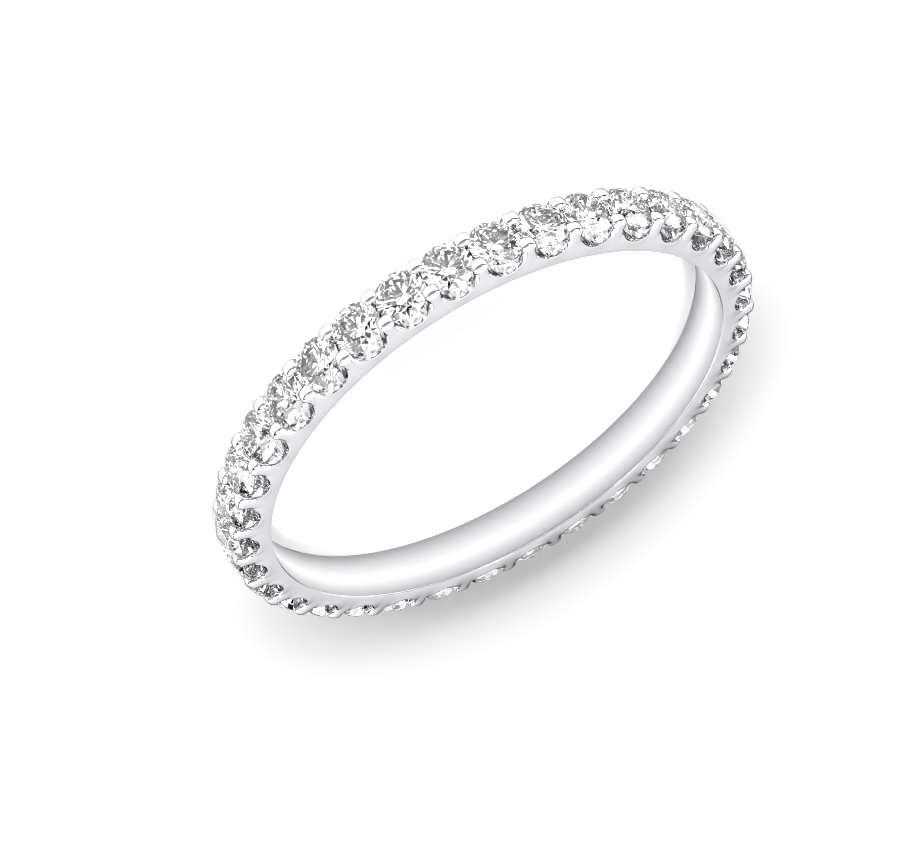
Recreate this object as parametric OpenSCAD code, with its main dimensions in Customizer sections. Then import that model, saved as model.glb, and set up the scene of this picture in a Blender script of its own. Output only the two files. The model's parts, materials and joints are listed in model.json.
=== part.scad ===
// Full eternity ring: a scalloped band with round brilliants held by shared prongs.
// It lies on its side with the finger hole along Z. The origin is on the hole's axis,
// in the plane that the ring rests on.

/* [Band] */
// Diameter of the finger hole
finger_d = 17; // [15:0.1:21]
// Width of the band along the finger
band_w = 1.9; // [1.7:0.05:2.4]
// Metal left between the finger hole and the scallops' floors
shank_t = 0.55; // [0.45:0.01:0.8]
// Chamfer round both ends of the finger hole
hole_chamfer = 0.07; // [0.03:0.01:0.15]

/* [Scallops and prongs] */
// Width of each scallop, cut across the band under a stone
scallop_w = 1.36; // [1.2:0.01:1.42]
// Height of the prongs' tops over the middle of the girdles
prong_rise = 0.24; // [0.2:0.01:0.32]
// Thickness of a prong along the finger
prong_t = 0.52; // [0.45:0.01:0.65]
// How far a prong leans in over the stones from the band's side
prong_lean = 0.13; // [0.06:0.01:0.16]
// Swelling of the prongs' heads beyond their stems
head_swell = 0.02; // [0.01:0.005:0.04]
// Depth of the bars between the stones below the middle of the girdles
bar_drop = 0.24; // [0.15:0.01:0.35]

/* [Stones] */
// Diameter of each brilliant
stone_d = 1.74; // [1.6:0.01:1.9]
// Least gap between neighbouring girdles
stone_gap = 0.02; // [0.01:0.01:0.1]
// Metal left under each stone's point
culet_wall = 0.375; // [0.35:0.005:0.375]
// Clearance between a stone and its seat
seat_gap = 0.02; // [0.02:0.005:0.04]
// Table across its corners, as a share of the stone's diameter
table_share = 0.57; // [0.53:0.01:0.62]
// Girdle's thickness, as a share of the stone's diameter
girdle_share = 0.03; // [0.02:0.005:0.05]
// Angle of the crown's main facets to the girdle
crown_angle = 34.5; // [32:0.5:36]
// Angle of the pavilion's main facets to the girdle
pavilion_angle = 40.75; // [40:0.25:42]
// Length of the star facets, as a share of the way from table to girdle
star_share = 0.5; // [0.4:0.05:0.6]
// Length of the lower halves, as a share of the way from girdle to point
lower_share = 0.77; // [0.7:0.01:0.85]

/* [Hidden] */
$fn = 96;
// Cuts run this far past the faces that they open
over = 0.5;
// The scallops' arcs dip this far under the shank's surface, so that they cross it
floor_dip = 0.03;
// The bars' feet reach this deep into the shank, and stop short of the scallops' middles
foot_sink = 0.195;
foot_gap = 0.1;
// The feet narrow by this much on each side on their way down into the shank
foot_inset = 0.05;
// The pits for the stones' points are cut this far past the shank's surface
pit_over = 0.05;

hole_r = finger_d / 2;
stone_r = stone_d / 2;
table_r = stone_r * table_share;
girdle_h = stone_d * girdle_share;
crown_h = (stone_r - table_r) * tan(crown_angle);
pavilion_h = stone_r * tan(pavilion_angle);

// Distances from the finger hole's axis
girdle_r = hole_r + culet_wall + pavilion_h + girdle_h / 2;
floor_r = hole_r + shank_t;
foot_r = floor_r - foot_sink;
bar_r = girdle_r - bar_drop;
prong_top_r = girdle_r + prong_rise;

// As many stones as fit, spread evenly
stone_count = floor(180 / asin((stone_d + stone_gap) / (2 * (girdle_r - girdle_h / 2))));
pitch = 360 / stone_count;

// Half the width of a bar where the prongs' heads begin
scallop_r = scallop_w / 2;
scallop_mid_r = floor_r + scallop_r - floor_dip;
stem_r = scallop_mid_r * sin(pitch / 2) - scallop_r * cos(pitch / 2);
head_r = stem_r + head_swell;
head_mid_r = prong_top_r - head_r;

// Places along the finger
mid_z = band_w / 2;
head_z = mid_z - prong_lean - prong_t / 2;

// A brilliant's eight main directions
MAINS = 8;
main_step = 360 / MAINS;
// Each stone is turned a little further in its seat than the one before
seat_turn = 17;

STONES = [for (i = [1:stone_count]) str("stone_", i < 10 ? "0" : "", i)];

// Plain shank, with a pit under each stone's point
module base_ring() {
    difference() {
        rotate_extrude()
            polygon([
                [hole_r, hole_chamfer - mid_z],
                [hole_r + hole_chamfer, -mid_z],
                [floor_r, -mid_z],
                [floor_r, mid_z],
                [hole_r + hole_chamfer, mid_z],
                [hole_r, mid_z - hole_chamfer]
            ]);
        for (i = [0:stone_count - 1]) at_stone(i) pit();
    }
}

// Room for a stone's point, up to just past the shank's surface
module pit() {
    point_r = girdle_r - girdle_h / 2 - pavilion_h - seat_gap / cos(pavilion_angle);
    pit_h = floor_r - point_r + pit_over;
    translate([0, 0, point_r - girdle_r])
        cylinder(h = pit_h, r1 = 0, r2 = pit_h / tan(pavilion_angle));
}

// Side view of one bar: a foot between two scallops, narrowing to a stem with a round head
module bar_outline() {
    half_foot = floor_r * sin(pitch / 2) - foot_gap;
    difference() {
        translate([foot_r, -half_foot]) square([head_mid_r - foot_r, 2 * half_foot]);
        for (side = [-1, 1])
            rotate(side * pitch / 2) {
                translate([scallop_mid_r, 0]) circle(r = scallop_r);
                translate([scallop_mid_r, -scallop_r]) square([prong_rise + over, scallop_w]);
            }
    }
    translate([head_mid_r, 0]) circle(r = head_r);
}

// Section across the band through a bar: low in the middle, a prong at each side
module bar_section() {
    in_z = head_z - prong_t / 2;
    out_z = head_z + prong_t / 2;
    polygon([
        [foot_r, foot_inset - mid_z],
        [floor_r, -mid_z],
        [head_mid_r, -out_z],
        [head_mid_r, -in_z],
        [bar_r, -in_z],
        [bar_r, in_z],
        [head_mid_r, in_z],
        [head_mid_r, out_z],
        [floor_r, mid_z],
        [foot_r, mid_z - foot_inset]
    ]);
    for (side = [-1, 1])
        translate([head_mid_r, side * head_z]) circle(r = prong_t / 2 + head_swell / 2);
}

// One bar with its front and rear prongs, cut to seat the stones on both sides of it
module prong_bar() {
    difference() {
        intersection() {
            translate([0, 0, -mid_z - over])
                linear_extrude(band_w + 2 * over) bar_outline();
            rotate([0, 0, -pitch / 2])
                rotate_extrude(angle = pitch) bar_section();
        }
        for (side = [-1, 1])
            rotate([0, 0, side * pitch / 2]) at_stone(0) seat();
    }
}

// Room for a stone: its round envelope with the clearance all round
module seat() {
    grow_low = seat_gap / cos(pavilion_angle);
    half_girdle = girdle_h / 2;
    rotate_extrude()
        polygon([
            [0, -half_girdle - pavilion_h - grow_low],
            [stone_r + seat_gap, -half_girdle - grow_low + seat_gap * tan(pavilion_angle)],
            [stone_r + seat_gap, half_girdle + seat_gap * tan(crown_angle / 2)],
            [table_r + seat_gap, half_girdle + crown_h + seat_gap],
            [0, half_girdle + crown_h + seat_gap]
        ]);
}

// Puts what is drawn on the Z axis at a stone's place, facing out
module at_stone(i) {
    rotate([0, 0, i * pitch])
        translate([girdle_r, 0, 0])
            rotate([0, 90, 0])
                children();
}

module band() {
    color([0.86, 0.87, 0.89])
        translate([0, 0, mid_z]) {
            base_ring();
            for (i = [0:stone_count - 1])
                rotate([0, 0, (i + 0.5) * pitch]) prong_bar();
        }
}

// A point at a radius, direction and height
function spot(r, a, z) = [r * cos(a), r * sin(a), z];

// Height above or below the girdle of a main facet, at a radius off its own direction
function main_h(r, off, slope) = (stone_r - r * cos(off)) * tan(slope);

// Round brilliant, 57 facets: table up, girdle's middle at the origin
module brilliant() {
    half = main_step / 2;
    top = girdle_h / 2;
    star_r = table_r * cos(half) + star_share * (stone_r - table_r * cos(half));
    lower_r = stone_r * (1 - lower_share);
    steps = [0:MAINS - 1];
    table_pts = [for (k = steps) spot(table_r, k * main_step, top + crown_h)];
    star_pts = [for (k = steps)
        spot(star_r, (k + 0.5) * main_step, top + main_h(star_r, half, crown_angle))];
    upper_pts = [for (k = [0:2 * MAINS - 1]) spot(stone_r, k * half, top)];
    lower_pts = [for (k = [0:2 * MAINS - 1]) spot(stone_r, k * half, -top)];
    deep_pts = [for (k = steps)
        spot(lower_r, (k + 0.5) * main_step, -top - main_h(lower_r, half, pavilion_angle))];
    culet = [[0, 0, -top - pavilion_h]];
    // Where each ring of points starts in the whole list
    star = MAINS;
    upper = 2 * MAINS;
    lower = 4 * MAINS;
    deep = 6 * MAINS;
    point = 7 * MAINS;
    around = 2 * MAINS;
    polyhedron(
        points = concat(table_pts, star_pts, upper_pts, lower_pts, deep_pts, culet),
        faces = concat(
            [[for (k = steps) MAINS - 1 - k]],
            [for (k = steps) [k, (k + 1) % MAINS, star + k]],
            [for (k = steps) [k, star + k, upper + 2 * k, star + (k + MAINS - 1) % MAINS]],
            [for (k = steps) [star + k, upper + 2 * k + 1, upper + 2 * k]],
            [for (k = steps) [star + k, upper + (2 * k + 2) % around, upper + 2 * k + 1]],
            [for (k = [0:around - 1])
                [upper + k, upper + (k + 1) % around, lower + (k + 1) % around, lower + k]],
            [for (k = steps) [deep + k, lower + 2 * k, lower + 2 * k + 1]],
            [for (k = steps) [deep + k, lower + 2 * k + 1, lower + (2 * k + 2) % around]],
            [for (k = steps) [point, deep + (k + MAINS - 1) % MAINS, lower + 2 * k, deep + k]]
        )
    );
}

module stone(i) {
    color([0.94, 0.97, 1])
        translate([0, 0, mid_z])
            at_stone(i)
                rotate(i * seat_turn)
                    brilliant();
}

band();
for (i = [0:stone_count - 1])
    stone(i);
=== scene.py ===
"""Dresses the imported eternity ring: polished white gold, round brilliants and a pale studio."""

import json
import logging
import math
from collections.abc import Callable
from dataclasses import dataclass
from enum import Enum
from typing import Any

import bmesh
import bpy
from mathutils import Matrix, Vector


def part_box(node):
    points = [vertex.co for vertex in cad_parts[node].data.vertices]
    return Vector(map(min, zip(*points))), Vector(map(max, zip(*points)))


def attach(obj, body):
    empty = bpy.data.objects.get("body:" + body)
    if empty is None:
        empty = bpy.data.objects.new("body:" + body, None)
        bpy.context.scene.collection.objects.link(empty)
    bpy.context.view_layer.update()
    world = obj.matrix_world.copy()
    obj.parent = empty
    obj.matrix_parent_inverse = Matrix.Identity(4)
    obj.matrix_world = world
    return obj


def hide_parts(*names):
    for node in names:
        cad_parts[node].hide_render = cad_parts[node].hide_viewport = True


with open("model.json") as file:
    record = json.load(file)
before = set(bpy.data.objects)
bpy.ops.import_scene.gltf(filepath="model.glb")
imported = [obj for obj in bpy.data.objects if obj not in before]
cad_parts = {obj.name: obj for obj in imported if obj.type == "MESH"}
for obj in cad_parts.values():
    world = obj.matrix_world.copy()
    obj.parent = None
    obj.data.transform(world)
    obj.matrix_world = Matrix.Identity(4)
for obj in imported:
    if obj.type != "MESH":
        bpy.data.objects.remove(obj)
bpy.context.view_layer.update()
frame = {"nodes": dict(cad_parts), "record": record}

LOG = logging.getLogger("eternity_ring")
MM = 0.001
AXIS = Vector((0.0, 0.0, 1.0))
ORIGIN = Vector((0.0, 0.0, 0.0))
# Points closer than this many millimetres are one point
WELD = 0.0005
# The same for the points of a brilliant's facets, which lie closer together
FACET_WELD = 0.0001
# Depth in millimetres of the finest relief that a surface's bump stands for
RELIEF = 0.01
# The sRGB curve: slope and end of its straight part, offset and power of its curved part
SRGB_SLOPE = 12.92
SRGB_KNEE = 0.04045
SRGB_OFFSET = 0.055
SRGB_POWER = 2.4

Colour = tuple[float, float, float, float]
Place = Callable[[Vector, float], Vector]


class Slot(Enum):
    """Material slots of the ring's record."""

    WHITE_GOLD = "white_gold"
    DIAMOND = "diamond"


class MetalFinish(Enum):
    """How the band's metal is finished, numbered as its faces number it."""

    POLISHED = 0
    LAPPED = 1
    BRIGHT_CUT = 2


class LightUse(Enum):
    """What a soft light is there for."""

    FLOOR = "lights the floor, and no shine or stone shows it"
    METAL = "shows in the metal's shine alone"
    SHINE = "shows in the metal's shine and in the stones, and leaves the floor alone"


def linear(hex_colour: str, power: float = 1.0) -> Colour:
    """Turns an sRGB hex colour into the linear colour that a shader takes.

    Args:
        hex_colour: Six hex digits, with or without a leading hash.
        power: Brightness that the colour is multiplied by.

    Returns:
        Linear red, green, blue and an alpha of one.
    """
    digits = hex_colour.lstrip("#")
    channels = [int(digits[i:i + 2], 16) / 255 for i in (0, 2, 4)]
    red, green, blue = [
        power * (c / SRGB_SLOPE if c <= SRGB_KNEE
                 else ((c + SRGB_OFFSET) / (1 + SRGB_OFFSET)) ** SRGB_POWER)
        for c in channels
    ]
    return red, green, blue, 1.0


def add_node(tree: bpy.types.NodeTree, kind: str, settings: dict[str, Any] | None = None,
             inputs: dict[str | int, Any] | None = None) -> bpy.types.Node:
    """Adds one node with its settings and what feeds its inputs.

    Args:
        tree: Node tree that takes the node.
        kind: Blender's name for the kind of node.
        settings: Attributes of the node and their values.
        inputs: Input names or numbers with a value or another node's output socket.

    Returns:
        The new node.
    """
    node = tree.nodes.new(kind)
    for name, value in (settings or {}).items():
        setattr(node, name, value)
    for name, value in (inputs or {}).items():
        if isinstance(value, bpy.types.NodeSocket):
            tree.links.new(value, node.inputs[name])
        else:
            node.inputs[name].default_value = value
    return node


def set_ramp(ramp: bpy.types.Node, stops: tuple[tuple[float, str], ...],
             power: float = 1.0) -> None:
    """Gives a colour ramp its stops.

    Args:
        ramp: Colour ramp node.
        stops: Places from 0 to 1 and their hex colours.
        power: Brightness that the colours are multiplied by.
    """
    elements = ramp.color_ramp.elements
    while len(elements) < len(stops):
        elements.new(1.0)
    for element, (place, colour) in zip(elements, stops):
        element.position = place
        element.color = linear(colour, power)


def new_material(name: str) -> tuple[bpy.types.Material, bpy.types.NodeTree]:
    """Makes an empty node material.

    Args:
        name: Name of the material.

    Returns:
        The material and its node tree.
    """
    material = bpy.data.materials.new(name)
    material.use_nodes = True
    material.node_tree.nodes.clear()
    return material, material.node_tree


@dataclass(frozen=True)
class WhiteGold:
    """Rhodium-bright 18 carat white gold, cast, filed and polished on a felt wheel."""

    colour: str = "#F6F6FA"
    # Painted shade: a near-black edge tint darkens the shine where the metal curves away from the
    # eye, and draws dark outlines
    painted_edge_shade: str = "#101016"
    roughness: float = 0.06
    # The polishing wheel leaves the shine a little uneven over this length
    cloud_mm: float = 0.9
    cloud_depth: float = 0.03
    # The part of the clouds' noise that is stretched over that depth, and its octaves
    cloud_low: float = 0.3
    cloud_high: float = 0.7
    cloud_octaves: float = 2.0
    # Hairlines from wear, drawn as coarse as they need to show
    hairline_mm: float = 0.12
    hairline_depth: float = 0.02
    hairline_octaves: float = 3.0

    def build(self) -> bpy.types.Material:
        """Makes the material: a bright mirror with faint clouds and hairlines in its shine, and
        painted dark edges.

        Returns:
            The metal's material.
        """
        material, tree = new_material("white_gold_polished")
        place = add_node(tree, "ShaderNodeTexCoord").outputs["Object"]
        clouds = add_node(tree, "ShaderNodeTexNoise", None, {
            "Vector": place, "Scale": 1 / (self.cloud_mm * MM), "Detail": self.cloud_octaves})
        hairs = add_node(tree, "ShaderNodeTexNoise", None, {
            "Vector": place, "Scale": 1 / (self.hairline_mm * MM),
            "Detail": self.hairline_octaves})
        shine = add_node(tree, "ShaderNodeMapRange", None, {
            "Value": clouds.outputs["Fac"], "From Min": self.cloud_low,
            "From Max": self.cloud_high,
            "To Min": self.roughness - self.cloud_depth / 2,
            "To Max": self.roughness + self.cloud_depth / 2})
        relief = add_node(tree, "ShaderNodeBump", None, {
            "Strength": self.hairline_depth, "Distance": RELIEF * MM,
            "Height": hairs.outputs["Fac"]})
        # Painted shade: the near-black edge tint darkens the shine at low angles
        metal = add_node(tree, "ShaderNodeBsdfPrincipled", None, {
            "Base Color": linear(self.colour), "Metallic": 1.0,
            "Specular Tint": linear(self.painted_edge_shade),
            "Roughness": shine.outputs["Result"], "Normal": relief.outputs["Normal"]})
        add_node(tree, "ShaderNodeOutputMaterial", None, {"Surface": metal.outputs["BSDF"]})
        return material


@dataclass(frozen=True)
class LappedGold:
    """The same white gold in the finger hole, lapped round and round with a felt cone, with a
    painted reflection banded across it.
    """

    # Painted reflection: its tone at shares of the way from the rear rim to the front rim,
    # brightest along the middle and greyer at both rims, darkest at the front rim's edge, in
    # place of the light and shade that the hole's wall mirrors
    painted_reflection_tones: tuple[tuple[float, str], ...] = (
        (0.0, "#949599"), (0.28, "#CECED1"), (0.62, "#FAFAFC"), (0.95, "#BCBCC0"),
        (0.99, "#8D8D93"))
    roughness: float = 0.28
    # The cone's fine rings run round the hole, drawn as coarse as they need to show
    ring_mm: float = 0.10
    ring_depth: float = 0.03
    ring_octaves: float = 3.0

    def build(self, width: float) -> bpy.types.Material:
        """Makes the material: a satin shine with faint rings, and a painted reflection, bright
        along the middle and greyer at the rims.

        Args:
            width: Length of the finger hole in millimetres.

        Returns:
            The bore's material.
        """
        material, tree = new_material("white_gold_lapped_painted_reflection")
        place = add_node(tree, "ShaderNodeTexCoord").outputs["Object"]
        parts = add_node(tree, "ShaderNodeSeparateXYZ", None, {"Vector": place})
        # Painted reflection: the base colour runs from grey at the rims to white along the middle
        # of the hole
        share = add_node(tree, "ShaderNodeMath", {"operation": "DIVIDE"},
                         {0: parts.outputs["Z"], 1: width * MM})
        painted_reflection = add_node(tree, "ShaderNodeValToRGB", None, {"Fac": share.outputs["Value"]})
        set_ramp(painted_reflection, self.painted_reflection_tones)
        rings = add_node(tree, "ShaderNodeTexNoise", {"noise_dimensions": "1D"}, {
            "W": parts.outputs["Z"], "Scale": 1 / (self.ring_mm * MM),
            "Detail": self.ring_octaves})
        relief = add_node(tree, "ShaderNodeBump", None, {
            "Strength": self.ring_depth, "Distance": RELIEF * MM,
            "Height": rings.outputs["Fac"]})
        metal = add_node(tree, "ShaderNodeBsdfPrincipled", None, {
            "Base Color": painted_reflection.outputs["Color"], "Metallic": 1.0,
            "Roughness": self.roughness, "Normal": relief.outputs["Normal"]})
        add_node(tree, "ShaderNodeOutputMaterial", None, {"Surface": metal.outputs["BSDF"]})
        return material


@dataclass(frozen=True)
class BrightCutGold:
    """The same white gold in the seats, cut bright with the setter's polished bur."""

    colour: str = "#FCFCFD"
    roughness: float = 0.05
    # The bur's chatter, drawn as coarse as it needs to show
    chatter_mm: float = 0.08
    chatter_depth: float = 0.03
    chatter_octaves: float = 1.0

    def build(self) -> bpy.types.Material:
        """Makes the material: a clean mirror that throws light back into the stones.

        Returns:
            The seats' material.
        """
        material, tree = new_material("white_gold_bright_cut")
        place = add_node(tree, "ShaderNodeTexCoord").outputs["Object"]
        chatter = add_node(tree, "ShaderNodeTexNoise", None, {
            "Vector": place, "Scale": 1 / (self.chatter_mm * MM),
            "Detail": self.chatter_octaves})
        relief = add_node(tree, "ShaderNodeBump", None, {
            "Strength": self.chatter_depth, "Distance": RELIEF * MM,
            "Height": chatter.outputs["Fac"]})
        metal = add_node(tree, "ShaderNodeBsdfPrincipled", None, {
            "Base Color": linear(self.colour), "Metallic": 1.0,
            "Roughness": self.roughness, "Normal": relief.outputs["Normal"]})
        add_node(tree, "ShaderNodeOutputMaterial", None, {"Surface": metal.outputs["BSDF"]})
        return material


@dataclass(frozen=True)
class Diamond:
    """Colourless diamond, cut as a round brilliant and polished on a scaife."""

    colour: str = "#FFFFFF"
    roughness: float = 0.0
    ior: float = 2.417

    def build(self) -> bpy.types.Material:
        """Makes the material: clear, very high in refraction, with perfectly flat facets.

        Returns:
            The stones' material.
        """
        material, tree = new_material("diamond_polished")
        stone = add_node(tree, "ShaderNodeBsdfPrincipled", None, {
            "Base Color": linear(self.colour), "Roughness": self.roughness,
            "IOR": self.ior, "Transmission Weight": 1.0})
        add_node(tree, "ShaderNodeOutputMaterial", None, {"Surface": stone.outputs["BSDF"]})
        return material


@dataclass(frozen=True)
class PaleFloor:
    """Matt white studio sweep."""

    colour: str = "#F7F7F5"
    roughness: float = 0.9
    gloss: float = 0.1

    def build(self) -> bpy.types.Material:
        """Makes the floor's plain matt material.

        Returns:
            The floor's material.
        """
        material, tree = new_material("floor_matt_white")
        paper = add_node(tree, "ShaderNodeBsdfPrincipled", None, {
            "Base Color": linear(self.colour), "Roughness": self.roughness,
            "Specular IOR Level": self.gloss})
        add_node(tree, "ShaderNodeOutputMaterial", None, {"Surface": paper.outputs["BSDF"]})
        return material


def new_piece(name: str, bm: bmesh.types.BMesh, scale: float = MM) -> bpy.types.Object:
    """Turns a shape drawn in millimetres into an object at the origin.

    Args:
        name: Name of the object and its mesh.
        bm: Shape to write, which is freed.
        scale: Metres for each unit of the shape.

    Returns:
        The new object, linked to the scene.
    """
    bmesh.ops.scale(bm, vec=(scale, scale, scale), verts=bm.verts)
    mesh = bpy.data.meshes.new(name)
    bm.to_mesh(mesh)
    bm.free()
    piece = bpy.data.objects.new(name, mesh)
    bpy.context.scene.collection.objects.link(piece)
    return piece


def finished_shape(piece: bpy.types.Object, scale: float = 1 / MM) -> bmesh.types.BMesh:
    """Reads a scratch object with its modifiers applied, and removes it.

    Args:
        piece: Scratch object.
        scale: Units of the shape for each of the object's.

    Returns:
        The finished shape.
    """
    graph = bpy.context.evaluated_depsgraph_get()
    bm = bmesh.new()
    bm.from_mesh(piece.evaluated_get(graph).data)
    bmesh.ops.scale(bm, vec=(scale, scale, scale), verts=bm.verts)
    bpy.data.objects.remove(piece)
    return bm


def whole(bm: bmesh.types.BMesh) -> list[Any]:
    """Gives all of a shape's vertices, edges and faces in one list."""
    return [*bm.verts, *bm.edges, *bm.faces]


def fit_out(piece: bpy.types.Object, finishes: list[bpy.types.Material], node: str,
            slot: Slot) -> None:
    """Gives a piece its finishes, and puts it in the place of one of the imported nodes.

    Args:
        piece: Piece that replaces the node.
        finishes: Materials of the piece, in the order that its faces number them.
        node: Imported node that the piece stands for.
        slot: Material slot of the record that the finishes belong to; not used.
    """
    for finish in finishes:
        piece.data.materials.append(finish)
    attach(piece, "root")
    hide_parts(node)


@dataclass(frozen=True)
class RingSizes:
    """Sizes in millimetres that the band and the stones share, read from the frame."""

    names: list[str]
    hole_r: float
    width: float
    stone_d: float
    culet_r: float
    table_r: float
    # The cut's proportions, as shares of the stone's diameter, and its pavilion angle
    table_share: float = 0.57
    girdle_share: float = 0.03
    pavilion_deg: float = 40.75

    @classmethod
    def from_frame(cls) -> "RingSizes":
        """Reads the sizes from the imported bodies' boxes and mounts.

        Returns:
            The ring's sizes.
        """
        names = sorted(name for name in frame["nodes"] if name.startswith("stone_"))
        low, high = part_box("band")
        first_low, first_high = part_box(names[0])
        mounts = {mount["name"]: mount for mount in frame["record"]["mounts"]}
        return cls(names=names, hole_r=mounts["finger_hole"]["dims"]["r_mm"],
                   width=(high.z - low.z) / MM, stone_d=(first_high.y - first_low.y) / MM,
                   culet_r=first_low.x / MM, table_r=first_high.x / MM)

    @property
    def pitch(self) -> float:
        """Angle from one stone to the next."""
        return math.tau / len(self.names)

    @property
    def girdle(self) -> float:
        """Thickness of a stone's girdle."""
        return self.girdle_share * self.stone_d

    @property
    def girdle_r(self) -> float:
        """Distance of the girdles' middles from the hole's axis."""
        pavilion = self.stone_d / 2 * math.tan(math.radians(self.pavilion_deg))
        return self.culet_r + pavilion + self.girdle / 2


@dataclass
class Brilliant:
    """One round brilliant of 57 facets with a round girdle, in millimetres, table up."""

    diameter: float
    depth_up: float
    depth_down: float
    girdle: float
    table_share: float
    star_share: float = 0.5
    lower_share: float = 0.77
    mains: int = 8
    girdle_sides: int = 96

    def ring_point(self, radius: float, step: float, height: float) -> Vector:
        """Gives a point at a radius, a direction in steps of a main facet, and a height.

        Args:
            radius: Distance from the stone's axis.
            step: Direction, one for each main facet.
            height: Height over the girdle's middle.

        Returns:
            The point.
        """
        angle = math.tau * step / self.mains
        return Vector((radius * math.cos(angle), radius * math.sin(angle), height))

    def main_height(self, radius: float, rise: float, run: float) -> float:
        """Gives the height of a main facet over the girdle, half a step off its direction.

        Args:
            radius: Distance from the stone's axis.
            rise: Height of the whole slope.
            run: Length of the slope, seen from above.

        Returns:
            The height in millimetres.
        """
        off = math.cos(math.pi / self.mains)
        return (self.diameter / 2 - radius * off) * rise / run

    def facets(self) -> list[tuple[Vector, Vector]]:
        """Works out the plane of each facet.

        Returns:
            A point on each facet and the facet's outward normal.
        """
        radius = self.diameter / 2
        table = radius * self.table_share
        top = self.girdle / 2
        crown = self.depth_up - top
        pavilion = self.depth_down - top
        inner = table * math.cos(math.pi / self.mains)
        star = inner + self.star_share * (radius - inner)
        star_height = top + self.main_height(star, crown, radius - table)
        deep = radius * (1 - self.lower_share)
        deep_height = -top - self.main_height(deep, pavilion, radius)
        culet = Vector((0.0, 0.0, -self.depth_down))
        planes = [(Vector((0.0, 0.0, self.depth_up)), AXIS)]
        for step in range(self.mains):
            edge = self.ring_point(radius, step, top)
            beside = self.ring_point(table, step, self.depth_up)
            across = Vector((-edge.y, edge.x, 0.0))
            planes.append((edge, across.cross(beside - edge)))
            low_edge = self.ring_point(radius, step, -top)
            planes.append((low_edge, across.cross(culet - low_edge)))
            half = step + 0.5
            tip = self.ring_point(star, half, star_height)
            beyond = self.ring_point(table, step + 1, self.depth_up)
            planes.append((tip, (beyond - tip).cross(beside - tip)))
            low_tip = self.ring_point(deep, half, deep_height)
            for side in (-0.5, 0.5):
                corner = self.ring_point(radius, half + side, top)
                middle = self.ring_point(radius, half, top)
                planes.append((tip, (corner - tip).cross(middle - tip)))
                low_corner = self.ring_point(radius, half + side, -top)
                low_middle = self.ring_point(radius, half, -top)
                planes.append((low_tip, (low_corner - low_tip).cross(low_middle - low_tip)))
        return planes

    def build(self) -> bmesh.types.BMesh:
        """Cuts the brilliant out of a round blank, one plane after another.

        Returns:
            The cut stone.
        """
        bm = bmesh.new()
        blank = 2 * max(self.depth_up, self.depth_down)
        bmesh.ops.create_cone(bm, cap_ends=True, segments=self.girdle_sides,
                              radius1=self.diameter / 2, radius2=self.diameter / 2, depth=blank)
        for point, normal in self.facets():
            outward = normal if normal.dot(point) > 0 else -normal
            cut = bmesh.ops.bisect_plane(bm, geom=whole(bm), dist=FACET_WELD, plane_co=point,
                                         plane_no=outward.normalized(), clear_outer=True)
            rim = [item for item in cut["geom_cut"]
                   if isinstance(item, bmesh.types.BMEdge) and item.is_boundary]
            if rim:
                bmesh.ops.contextual_create(bm, geom=rim)
        bmesh.ops.remove_doubles(bm, verts=bm.verts, dist=FACET_WELD)
        bmesh.ops.recalc_face_normals(bm, faces=bm.faces)
        return bm


@dataclass
class StoneRow:
    """All the brilliants round the ring, each turned a little further in its seat."""

    sizes: RingSizes
    seat_turn_deg: float = 17.0

    def place(self, index: int) -> Matrix:
        """Gives the transform that seats a stone drawn table up.

        Args:
            index: Number of the stone, from zero.

        Returns:
            The transform, in millimetres.
        """
        return (Matrix.Rotation(index * self.sizes.pitch, 4, "Z")
                @ Matrix.Translation((self.sizes.girdle_r, 0.0, self.sizes.width / 2))
                @ Matrix.Rotation(math.pi / 2, 4, "Y")
                @ Matrix.Rotation(index * math.radians(self.seat_turn_deg), 4, "Z"))

    def build(self) -> list[bpy.types.Object]:
        """Cuts one brilliant and sets a copy of it in every seat.

        Returns:
            The stones, in the order of their names.
        """
        sizes = self.sizes
        pattern = Brilliant(
            diameter=sizes.stone_d, depth_up=sizes.table_r - sizes.girdle_r,
            depth_down=sizes.girdle_r - sizes.culet_r, girdle=sizes.girdle,
            table_share=sizes.table_share).build()
        stones = []
        for index, name in enumerate(sizes.names):
            stone = pattern.copy()
            bmesh.ops.transform(stone, matrix=self.place(index), verts=stone.verts)
            stones.append(new_piece(name.replace("stone", "brilliant"), stone))
        pattern.free()
        return stones

    def dress(self, stones: list[bpy.types.Object], finish: bpy.types.Material) -> None:
        """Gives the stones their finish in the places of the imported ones.

        Args:
            stones: The stones, in the order of their names.
            finish: Material of the stones.
        """
        for stone, name in zip(stones, self.sizes.names):
            # Clear stones pass the light on to the floor
            stone.visible_shadow = False
            fit_out(stone, [finish], name, Slot.DIAMOND)


@dataclass(frozen=True)
class ProngRing:
    """One level of a prong's cage: a rounded square at a height over the girdles."""

    rise: float
    half_width: float
    inner: float
    outer: float


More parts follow.
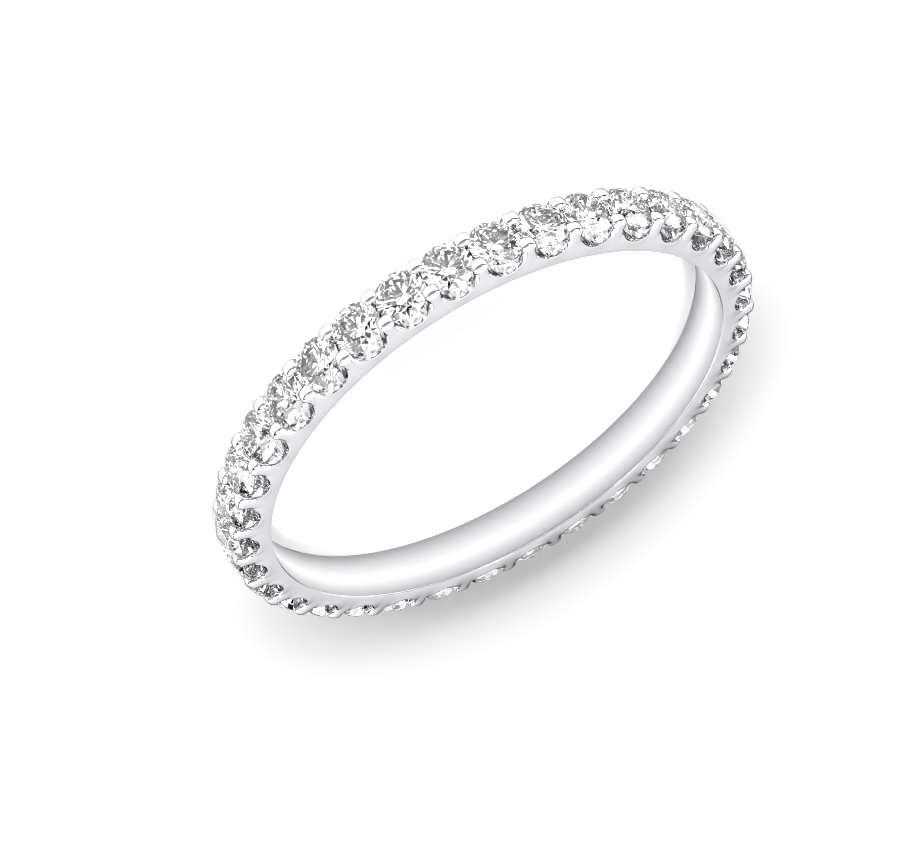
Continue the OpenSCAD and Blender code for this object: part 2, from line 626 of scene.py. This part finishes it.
@dataclass
class Band:
    """The ring's metal: shank, scallops, bars and shared prongs, in millimetres."""

    sizes: RingSizes
    shank_t: float = 0.55
    # The band's side has a row of points at this share of the shank's thickness
    side_share: float = 0.6
    # The finger hole opens up towards its ends: how much at its rims and beside them
    hole_flare: float = 0.07
    hole_curve: float = 0.03
    hole_curve_z: float = 0.7
    # The hole's own finish ends at this share of the flare
    bore_share: float = 0.8
    scallop_r: float = 0.68
    # The scallops' arcs dip this far under the shank's surface
    floor_dip: float = 0.02
    bar_drop: float = 0.24
    # Rows along the finger: where the prongs begin and their middles
    prong_inner: float = 0.30
    prong_middle: float = 0.58
    # A prong rises from the faces round a bar's top: how far below it and to each side they may
    # reach, and how level they are at least
    foot_depth: float = 0.06
    foot_reach: float = 0.34
    foot_level: float = 0.7
    # Points of a prong past these shares of its length, from -1 to 1, are on its ends
    inner_end: float = -0.5
    outer_end: float = 0.7
    prong_lean: float = 0.13
    head_rise: float = 0.02
    # Levels of a prong from its stem over its widest place to the edge of its dome
    prong_rings: tuple[ProngRing, ...] = (
        ProngRing(rise=0.0, half_width=0.27, inner=0.285, outer=0.85),
        ProngRing(rise=0.12, half_width=0.33, inner=0.27, outer=0.835),
        ProngRing(rise=0.235, half_width=0.215, inner=0.36, outer=0.745),
    )
    dome_rise: float = 0.31
    # How far a prong's corners are pulled in, which makes it round
    corner_share: float = 0.86
    seat_gap: float = 0.01
    # The seats' cutter is straight for this far on both sides of the girdle
    seat_wall: float = 0.03
    seat_steps: int = 64
    arc_steps: int = 3
    smoothing: int = 2
    # Sharpness of the edges that the felt wheel leaves, from 0 to 1
    rim_crease: float = 0.45
    hole_crease: float = 0.75
    # Edges that turn by more than this are drawn sharp
    sharp_deg: float = 38.0

    @property
    def half_pitch(self) -> float:
        """Angle from a stone's middle to the bar beside it."""
        return self.sizes.pitch / 2

    @property
    def floor_r(self) -> float:
        """Distance of the scallops' floors from the hole's axis."""
        return self.sizes.hole_r + self.shank_t

    @property
    def bar_r(self) -> float:
        """Distance of the bars' tops from the hole's axis."""
        return self.sizes.girdle_r - self.bar_drop

    def side_z(self, radius: float) -> float:
        """Gives the half width of the band at a distance from the axis.

        Args:
            radius: Distance from the hole's axis.

        Returns:
            The half width, which shrinks towards the prongs' heads.
        """
        head_r = self.sizes.girdle_r + self.head_rise
        lean = (radius - self.floor_r) / (head_r - self.floor_r)
        return self.sizes.width / 2 - self.prong_lean * max(0.0, lean)

    def outline(self, bm: bmesh.types.BMesh) -> list[bmesh.types.BMEdge]:
        """Draws one cell's outer outline, from scallop to scallop, at mid width.

        Args:
            bm: Shape that takes the outline.

        Returns:
            The outline's edges.
        """
        turn = self.half_pitch
        outward = Vector((math.sin(turn), math.cos(turn), 0.0))
        centre = outward * (self.floor_r + self.scallop_r - self.floor_dip)
        sweep = math.pi / 2 - math.asin((centre.y - self.bar_r) / self.scallop_r) - turn
        # Smoothing pulls an arc's cage in, so that it is drawn this much larger
        swell = 3 / (2 + math.cos(sweep / self.arc_steps))
        start = bm.verts.new(centre - outward * self.scallop_r * swell)
        bmesh.ops.spin(bm, geom=[start], cent=centre, axis=-AXIS, angle=sweep,
                       steps=self.arc_steps, use_duplicate=False)
        last = min(bm.verts, key=lambda v: v.co.x)
        made = bmesh.ops.extrude_vert_indiv(bm, verts=[last])
        made["verts"][0].co = Vector((0.0, self.bar_r, 0.0))
        bmesh.ops.mirror(bm, geom=whole(bm), axis="X", merge_dist=WELD)
        bm.edges.ensure_lookup_table()
        return list(bm.edges)

    def next_row(self, bm: bmesh.types.BMesh, row: list[bmesh.types.BMEdge], place: Place,
                 crease: float = 0.0) -> list[bmesh.types.BMEdge]:
        """Extrudes a row of edges and puts each new vertex in its place.

        Args:
            bm: Shape that holds the row.
            row: Edges to extrude.
            place: Function from a vertex's old place and its column's share to its new place.
            crease: Sharpness of the new row's edges.

        Returns:
            The new row's edges.
        """
        made = bmesh.ops.extrude_edge_only(bm, edges=row)["geom"]
        verts = [item for item in made if isinstance(item, bmesh.types.BMVert)]
        verts.sort(key=lambda v: math.atan2(v.co.x, v.co.y))
        for column, vert in enumerate(verts):
            vert.co = place(vert.co.copy(), 2 * column / (len(verts) - 1) - 1)
        edges = [item for item in made if isinstance(item, bmesh.types.BMEdge)]
        sharpness = bm.edges.layers.float["crease_edge"]
        for edge in edges:
            edge[sharpness] = crease
        return edges

    def around(self, share: float, radius: float, height: float) -> Vector:
        """Gives a point at a share of the way from a cell's middle to its side.

        Args:
            share: Share of the way, from -1 to 1.
            radius: Distance from the hole's axis.
            height: Place along the finger.

        Returns:
            The point.
        """
        angle = share * self.half_pitch
        return Vector((radius * math.sin(angle), radius * math.cos(angle), height))

    def cell_skin(self, bm: bmesh.types.BMesh) -> None:
        """Draws half of one cell's skin by extruding its outline round the band's section.

        Args:
            bm: Empty shape that takes the skin.
        """
        side = self.sizes.width / 2
        hole_r = self.sizes.hole_r
        middle_r = hole_r + self.shank_t * self.side_share
        row = self.outline(bm)
        row = self.next_row(bm, row, lambda p, s: Vector((p.x, p.y, self.prong_inner)))
        row = self.next_row(bm, row, lambda p, s: Vector((p.x, p.y, self.prong_middle)))
        row = self.next_row(
            bm, row, lambda p, s: Vector((p.x, p.y, self.side_z(math.hypot(p.x, p.y)))),
            self.rim_crease)
        row = self.next_row(bm, row, lambda p, s: self.around(s, middle_r, side))
        row = self.next_row(bm, row, lambda p, s: self.around(s, hole_r + self.hole_flare, side),
                            self.hole_crease)
        row = self.next_row(
            bm, row, lambda p, s: self.around(s, hole_r + self.hole_curve, self.hole_curve_z))
        self.next_row(bm, row, lambda p, s: self.around(s, hole_r, 0.0))

    def footprint(self, bm: bmesh.types.BMesh) -> list[bmesh.types.BMFace]:
        """Finds the faces on a bar's top that one prong rises from.

        Args:
            bm: Half of one cell's skin.

        Returns:
            The faces, with no sharp edges left between them.
        """
        faces = [
            face for face in bm.faces
            if face.calc_center_median().z > self.prong_inner
            and min(v.co.y for v in face.verts) > self.bar_r - self.foot_depth
            and max(abs(v.co.x) for v in face.verts) < self.foot_reach
            and abs(face.normal.y) > self.foot_level
        ]
        sharpness = bm.edges.layers.float["crease_edge"]
        for edge in {edge for face in faces for edge in face.edges}:
            edge[sharpness] = 0.0
        return faces

    def post(self, bm: bmesh.types.BMesh) -> None:
        """Raises one prong from the bar's top and rounds its head.

        Args:
            bm: Half of one cell's skin.
        """
        level = self.footprint(bm)
        for ring in self.prong_rings:
            made = bmesh.ops.extrude_face_region(bm, geom=level)["geom"]
            bmesh.ops.delete(bm, geom=level, context="FACES")
            level = [item for item in made if isinstance(item, bmesh.types.BMFace)]
            verts = {v for face in level for v in face.verts}
            middle = (ring.inner + ring.outer) / 2
            low = min(v.co.z for v in verts)
            high = max(v.co.z for v in verts)
            for vert in verts:
                across = 0 if abs(vert.co.x) < WELD else math.copysign(1, vert.co.x)
                share = 2 * (vert.co.z - low) / (high - low) - 1
                along = -1 if share < self.inner_end else 1 if share > self.outer_end else 0
                pull = self.corner_share if across and along else 1.0
                vert.co = Vector((across * ring.half_width * pull,
                                  self.sizes.girdle_r + ring.rise,
                                  middle + along * pull * (ring.outer - ring.inner) / 2))
        for vert in {v for face in level for v in face.verts}:
            if abs(vert.co.x) < WELD and abs(vert.co.z - middle) < WELD:
                vert.co.y = self.sizes.girdle_r + self.dome_rise

    def seat(self, turn: float) -> bmesh.types.BMesh:
        """Makes the room of one stone beside a bar.

        Args:
            turn: Angle from the bar to the stone.

        Returns:
            The round shape that is cut away.
        """
        sizes = self.sizes
        wide = sizes.stone_d / 2 + self.seat_gap
        narrow = sizes.table_share * sizes.stone_d / 2 + self.seat_gap
        table = sizes.table_r - sizes.girdle_r
        ends_gap = 2 * self.seat_gap
        outside = 2 * table
        section = [
            (0.0, sizes.culet_r - sizes.girdle_r - ends_gap),
            (wide, -self.seat_wall),
            (wide, self.seat_wall),
            (narrow, table + ends_gap),
            (narrow, outside),
            (0.0, outside),
        ]
        bm = bmesh.new()
        verts = [bm.verts.new((x, 0.0, z)) for x, z in section]
        edges = [bm.edges.new(pair) for pair in zip(verts, verts[1:])]
        bmesh.ops.spin(bm, geom=[*verts, *edges], cent=ORIGIN, axis=AXIS, angle=math.tau,
                       steps=self.seat_steps, use_merge=True, use_duplicate=False)
        bmesh.ops.remove_doubles(bm, verts=bm.verts, dist=WELD)
        bmesh.ops.recalc_face_normals(bm, faces=bm.faces)
        place = (Matrix.Rotation(turn, 4, "Z") @ Matrix.Translation((0.0, sizes.girdle_r, 0.0))
                 @ Matrix.Rotation(-math.pi / 2, 4, "X"))
        bmesh.ops.transform(bm, matrix=place, verts=bm.verts)
        return bm

    def cut_seats(self, bm: bmesh.types.BMesh) -> bmesh.types.BMesh:
        """Cuts the seats of two stones out of a strip of cells.

        Args:
            bm: Strip of three cells, which is freed.

        Returns:
            The strip with the seats beside its middle bar.
        """
        for side in (-1, 1):
            rim = [e for e in bm.edges if e.is_boundary
                   and all(v.co.x * side > 0 for v in e.verts)]
            bmesh.ops.contextual_create(bm, geom=rim)
        bmesh.ops.recalc_face_normals(bm, faces=bm.faces)
        strip = new_piece("strip_scratch", bm)
        cutters = [new_piece("seat_cutter", self.seat(side * self.half_pitch))
                   for side in (-1, 1)]
        for cutter in cutters:
            carve = strip.modifiers.new("carve", "BOOLEAN")
            carve.operation = "DIFFERENCE"
            carve.solver = "EXACT"
            carve.object = cutter
        shape = finished_shape(strip)
        for cutter in cutters:
            bpy.data.objects.remove(cutter)
        return shape

    def strip(self) -> bmesh.types.BMesh:
        """Models three cells side by side, smoothed and with the middle bar's seats cut.

        Returns:
            The strip.
        """
        pitch = self.sizes.pitch
        bm = bmesh.new()
        bm.edges.layers.float.new("crease_edge")
        self.cell_skin(bm)
        bmesh.ops.recalc_face_normals(bm, faces=bm.faces)
        self.post(bm)
        bmesh.ops.mirror(bm, geom=whole(bm), axis="Z", merge_dist=WELD)
        bmesh.ops.rotate(bm, verts=bm.verts, cent=ORIGIN, matrix=Matrix.Rotation(-pitch, 3, "Z"))
        bmesh.ops.spin(bm, geom=whole(bm), cent=ORIGIN, axis=AXIS, angle=2 * pitch, steps=2,
                       use_duplicate=True)
        bmesh.ops.remove_doubles(bm, verts=bm.verts, dist=WELD)
        bmesh.ops.recalc_face_normals(bm, faces=bm.faces)
        scratch = new_piece("cell_scratch", bm)
        smooth = scratch.modifiers.new("smooth", "SUBSURF")
        smooth.levels = smooth.render_levels = self.smoothing
        return self.cut_seats(finished_shape(scratch))

    def finish_of(self, spot: Vector) -> MetalFinish:
        """Tells how the metal is finished at a place.

        Args:
            spot: Point on the band.

        Returns:
            Lapped in the finger hole, bright-cut under a stone, and polished elsewhere.
        """
        sizes = self.sizes
        radius, angle = spot.to_2d().length, math.atan2(spot.y, spot.x)
        if radius < sizes.hole_r + self.hole_flare * self.bore_share:
            return MetalFinish.LAPPED
        aside = radius * math.sin(angle - round(angle / sizes.pitch) * sizes.pitch)
        off_axis = math.hypot(aside, spot.z - sizes.width / 2)
        bright_r = sizes.stone_d / 2 + 2 * self.seat_gap
        if off_axis < bright_r and radius < sizes.girdle_r:
            return MetalFinish.BRIGHT_CUT
        return MetalFinish.POLISHED

    def build(self) -> bpy.types.Object:
        """Builds the whole band from a quarter of one cell.

        Returns:
            The band's metal, with its faces numbered by their finish.
        """
        bm = self.strip()
        cell_side = Vector((math.cos(self.half_pitch), -math.sin(self.half_pitch), 0.0))
        for outward in (cell_side, Vector((-1.0, 0.0, 0.0)), -AXIS):
            bmesh.ops.bisect_plane(bm, geom=whole(bm), dist=WELD, plane_co=ORIGIN,
                                   plane_no=outward, clear_outer=True)
        bmesh.ops.mirror(bm, geom=whole(bm), axis="X", merge_dist=WELD)
        bmesh.ops.mirror(bm, geom=whole(bm), axis="Z", merge_dist=WELD)
        bmesh.ops.spin(bm, geom=whole(bm), cent=ORIGIN, axis=AXIS, angle=math.tau,
                       steps=len(self.sizes.names), use_duplicate=True, use_merge=True)
        bmesh.ops.remove_doubles(bm, verts=bm.verts, dist=WELD)
        bmesh.ops.recalc_face_normals(bm, faces=bm.faces)
        bmesh.ops.translate(bm, verts=bm.verts, vec=(0.0, 0.0, self.sizes.width / 2))
        for face in bm.faces:
            face.smooth = True
            face.material_index = self.finish_of(face.calc_center_median()).value
        limit = math.radians(self.sharp_deg)
        for edge in bm.edges:
            edge.smooth = edge.is_manifold and edge.calc_face_angle(0.0) < limit
        LOG.info("band_metal has %d open edges", sum(not edge.is_manifold for edge in bm.edges))
        return new_piece("band_metal", bm)

    def dress(self, metal: bpy.types.Object,
              finishes: dict[MetalFinish, bpy.types.Material]) -> None:
        """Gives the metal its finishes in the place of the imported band.

        Args:
            metal: The band's metal.
            finishes: Material of each of the metal's finishes.
        """
        fit_out(metal, [finishes[finish] for finish in MetalFinish], "band", Slot.WHITE_GOLD)


def direction(azimuth_deg: float, elevation_deg: float) -> Vector:
    """Gives the unit vector at an azimuth from +X and an elevation over the floor.

    Args:
        azimuth_deg: Azimuth, which grows from +X towards +Y.
        elevation_deg: Elevation.

    Returns:
        The unit vector.
    """
    azimuth = math.radians(azimuth_deg)
    elevation = math.radians(elevation_deg)
    return Vector((math.cos(elevation) * math.cos(azimuth),
                   math.cos(elevation) * math.sin(azimuth), math.sin(elevation)))


@dataclass(frozen=True)
class Camera:
    """The camera at the photograph's angle, aimed at a point in the ring's frame."""

    aim_mm: tuple[float, float, float] = (1.304, -0.241, 0.95)
    azimuth_deg: float = -87.05
    elevation_deg: float = 27.705
    roll_deg: float = 146.96
    distance_mm: float = 398.13
    lens_mm: float = 480.0
    near_m: float = 0.01
    far_m: float = 10.0

    def build(self) -> None:
        """Makes the camera and sets it as the scene's camera."""
        back = direction(self.azimuth_deg, self.elevation_deg)
        right = AXIS.cross(back).normalized()
        turned = Matrix((right, back.cross(right), back)).transposed() @ Matrix.Rotation(
            math.radians(self.roll_deg), 3, "Z")
        view = turned.to_4x4()
        view.translation = (Vector(self.aim_mm) + back * self.distance_mm) * MM
        lens = bpy.data.cameras.new("camera")
        lens.lens = self.lens_mm
        lens.clip_start = self.near_m
        lens.clip_end = self.far_m
        eye = bpy.data.objects.new("camera", lens)
        eye.matrix_world = view
        bpy.context.scene.collection.objects.link(eye)
        bpy.context.scene.camera = eye


@dataclass(frozen=True)
class Card:
    """One round card in the studio's surroundings, with a soft edge."""

    azimuth_deg: float
    elevation_deg: float
    # Angles from its middle to where it begins to fade and to where it ends
    solid_deg: float
    reach_deg: float
    colour: str
    power: float = 1.0

    def paint(self, tree: bpy.types.NodeTree, way: bpy.types.NodeSocket,
              under: bpy.types.NodeSocket) -> bpy.types.NodeSocket:
        """Paints the card over what lies behind it.

        Args:
            tree: Node tree of the world.
            way: Socket with the direction that is looked at.
            under: Socket with the colour behind the card.

        Returns:
            The socket with the card painted over that colour.
        """
        aim = direction(self.azimuth_deg, self.elevation_deg)
        near = add_node(tree, "ShaderNodeVectorMath", {"operation": "DOT_PRODUCT"},
                        {0: way, 1: aim})
        mask = add_node(tree, "ShaderNodeMapRange", {"interpolation_type": "SMOOTHSTEP"}, {
            "Value": near.outputs["Value"],
            "From Min": math.cos(math.radians(self.reach_deg)),
            "From Max": math.cos(math.radians(self.solid_deg))})
        mixed = add_node(tree, "ShaderNodeMixRGB", None, {
            "Fac": mask.outputs["Result"], "Color1": under,
            "Color2": linear(self.colour, self.power)})
        return mixed.outputs["Color"]


@dataclass(frozen=True)
class SoftBox:
    """One rectangular soft light that faces the ring."""

    name: str
    azimuth_deg: float
    elevation_deg: float
    distance_mm: float
    width_mm: float
    height_mm: float
    # Brightness of its surface, where the white floor's is about one
    radiance: float
    use: LightUse

    def build(self) -> None:
        """Hangs the light."""
        lamp = bpy.data.lights.new(self.name, "AREA")
        lamp.shape = "RECTANGLE"
        lamp.size = self.width_mm * MM
        lamp.size_y = self.height_mm * MM
        lamp.energy = math.pi * lamp.size * lamp.size_y * self.radiance
        back = direction(self.azimuth_deg, self.elevation_deg)
        thing = bpy.data.objects.new(self.name, lamp)
        thing.location = back * self.distance_mm * MM
        thing.rotation_euler = back.to_track_quat("Z", "Y").to_euler()
        thing.visible_diffuse = self.use is LightUse.FLOOR
        thing.visible_glossy = self.use is not LightUse.FLOOR
        thing.visible_transmission = self.use is LightUse.SHINE
        bpy.context.scene.collection.objects.link(thing)


@dataclass(frozen=True)
class HoleLight:
    """Narrow light straight overhead, which keeps the floor in the finger hole white."""

    height_mm: float = 300.0
    reach_mm: float = 8.3
    edge_blend: float = 0.1
    power: float = 0.5
    # A graded filter dims it from the shaded near side to the side that the key reaches
    full_y_mm: float = -3.5
    dark_y_mm: float = 3.5
    # How much further the shade reaches at the hole's sides
    bend: float = 0.08

    def build(self) -> None:
        """Hangs the light and its filter."""
        lamp = bpy.data.lights.new("hole_soft", "SPOT")
        lamp.spot_size = 2 * math.atan(self.reach_mm / self.height_mm)
        lamp.spot_blend = self.edge_blend
        lamp.shadow_soft_size = 0.0
        lamp.energy = self.power * 4 * (math.pi * self.height_mm * MM) ** 2
        lamp.use_nodes = True
        tree = lamp.node_tree
        tree.nodes.clear()
        way = add_node(tree, "ShaderNodeTexCoord").outputs["Normal"]
        spot = add_node(tree, "ShaderNodeVectorMath", {"operation": "SCALE"},
                        {"Vector": way, "Scale": self.height_mm})
        place = add_node(tree, "ShaderNodeSeparateXYZ", None, {"Vector": spot.outputs["Vector"]})
        aside = add_node(tree, "ShaderNodeMath", {"operation": "MULTIPLY"},
                         {0: place.outputs["X"], 1: place.outputs["X"]})
        shade = add_node(tree, "ShaderNodeMath", {"operation": "MULTIPLY_ADD"},
                         {0: aside.outputs["Value"], 1: -self.bend, 2: place.outputs["Y"]})
        grade = add_node(tree, "ShaderNodeMapRange", {"interpolation_type": "SMOOTHSTEP"}, {
            "Value": shade.outputs["Value"], "From Min": self.dark_y_mm,
            "From Max": self.full_y_mm})
        shine = add_node(tree, "ShaderNodeEmission", None, {"Strength": grade.outputs["Result"]})
        add_node(tree, "ShaderNodeOutputLight", None, {"Surface": shine.outputs["Emission"]})
        thing = bpy.data.objects.new("hole_soft", lamp)
        thing.location = AXIS * self.height_mm * MM
        bpy.context.scene.collection.objects.link(thing)


@dataclass
class Studio:
    """Pale floor, soft surroundings and the camera."""

    # From the floor's middle to its sides
    floor_mm: float = 1500.0
    # The air's colour from the horizon up to overhead
    air_stops: tuple[tuple[float, str], ...] = (
        (0.0, "#F4F4F6"), (0.2, "#58586A"), (0.5, "#1C1C34"), (1.0, "#242438"))
    air_power: float = 0.45
    lights: tuple[SoftBox, ...] = (
        # Long low light in front of the stones, and an even one overhead
        SoftBox("key_soft", -90, 13, 700, 700, 190, 48.0, LightUse.FLOOR),
        SoftBox("fill_soft", -90, 89.9, 700, 900, 900, 1.0, LightUse.FLOOR),
        # Bright panels that the stones throw back and the prongs' heads mirror
        SoftBox("front_panel", -88, 58, 400, 480, 250, 2.1, LightUse.SHINE),
        SoftBox("left_panel", -145, 34, 400, 240, 260, 1.8, LightUse.SHINE),
        SoftBox("right_panel", -32, 34, 400, 240, 260, 1.8, LightUse.SHINE),
        SoftBox("left_end_panel", 22, 32, 400, 300, 300, 5.0, LightUse.SHINE),
        SoftBox("right_end_panel", 165, 32, 400, 300, 300, 4.5, LightUse.SHINE),
        # Panels that grey the heads' dark lines and whiten the bend from head to side
        SoftBox("head_panel", -88, 22, 400, 700, 120, 0.45, LightUse.METAL),
        SoftBox("top_panel", -90, 89.9, 400, 700, 460, 1.0, LightUse.METAL),
    )
    # Width of the picture's filter, narrow enough to keep the facets crisp
    sharp_px: float = 0.9
    # Longer paths inside a brilliant end dark, which gives the facets their contrast
    bounces: int = 8
    cards: tuple[Card, ...] = (
        # Bright wall that the band's side mirrors
        Card(93, 28, 22, 45, "#FCFCFD", 0.97),
        # Black cards that give the curved metal its dark lines and the facets their contrast
        Card(-87, 33, 4, 6, "#16161E", 0.5),
        Card(-12, 18, 10, 18, "#34344A", 0.5),
        Card(175, 40, 9, 16, "#34344A", 0.5),
        # A scrap of blue sky, which a few facets throw back as small sparks
        Card(-52, 46, 2, 4, "#5B8FE0", 3.0),
    )

    def build(self) -> bpy.types.Object:
        """Sets up the floor, the surroundings and the camera.

        Returns:
            The floor.
        """
        bm = bmesh.new()
        bmesh.ops.create_grid(bm, x_segments=1, y_segments=1, size=self.floor_mm)
        floor = new_piece("floor", bm)
        floor.data.materials.append(PaleFloor().build())
        self.air()
        for light in self.lights:
            light.build()
        HoleLight().build()
        Camera().build()
        picture = bpy.context.scene
        picture.view_settings.view_transform = "Standard"
        picture.cycles.filter_width = self.sharp_px
        picture.cycles.max_bounces = self.bounces
        picture.cycles.glossy_bounces = self.bounces
        picture.cycles.transmission_bounces = self.bounces
        return floor

    def air(self) -> None:
        """Surrounds the ring with air that darkens overhead, and with the studio's cards."""
        world = bpy.data.worlds.new("studio_air")
        bpy.context.scene.world = world
        world.use_nodes = True
        tree = world.node_tree
        tree.nodes.clear()
        way = add_node(tree, "ShaderNodeTexCoord").outputs["Generated"]
        parts = add_node(tree, "ShaderNodeSeparateXYZ", None, {"Vector": way})
        ramp = add_node(tree, "ShaderNodeValToRGB", None, {"Fac": parts.outputs["Z"]})
        ramp.color_ramp.interpolation = "EASE"
        set_ramp(ramp, self.air_stops, self.air_power)
        seen = ramp.outputs["Color"]
        for card in self.cards:
            seen = card.paint(tree, way, seen)
        air = add_node(tree, "ShaderNodeBackground", None, {"Color": seen})
        add_node(tree, "ShaderNodeOutputWorld", None, {"Surface": air.outputs["Background"]})


def report(piece: bpy.types.Object) -> None:
    """Logs a piece's name, its triangles and its finishes.

    Args:
        piece: Finished piece.
    """
    LOG.info("%s: %d triangles, finished in %s", piece.name,
             sum(len(face.vertices) - 2 for face in piece.data.polygons),
             ", ".join(finish.name for finish in piece.data.materials))


def main() -> None:
    """Builds the dressed ring in its studio, and reports each piece."""
    logging.basicConfig(level=logging.INFO, format="%(name)s: %(message)s")
    sizes = RingSizes.from_frame()
    LOG.info("girdles at %.3f mm, %d stones of %.2f mm", sizes.girdle_r, len(sizes.names),
             sizes.stone_d)
    band = Band(sizes)
    metal = band.build()
    band.dress(metal, {
        MetalFinish.POLISHED: WhiteGold().build(),
        MetalFinish.LAPPED: LappedGold().build(sizes.width),
        MetalFinish.BRIGHT_CUT: BrightCutGold().build()})
    row = StoneRow(sizes)
    stones = row.build()
    row.dress(stones, Diamond().build())
    for piece in [metal, *stones, Studio().build()]:
        report(piece)


if __name__ == "__main__":
    main()
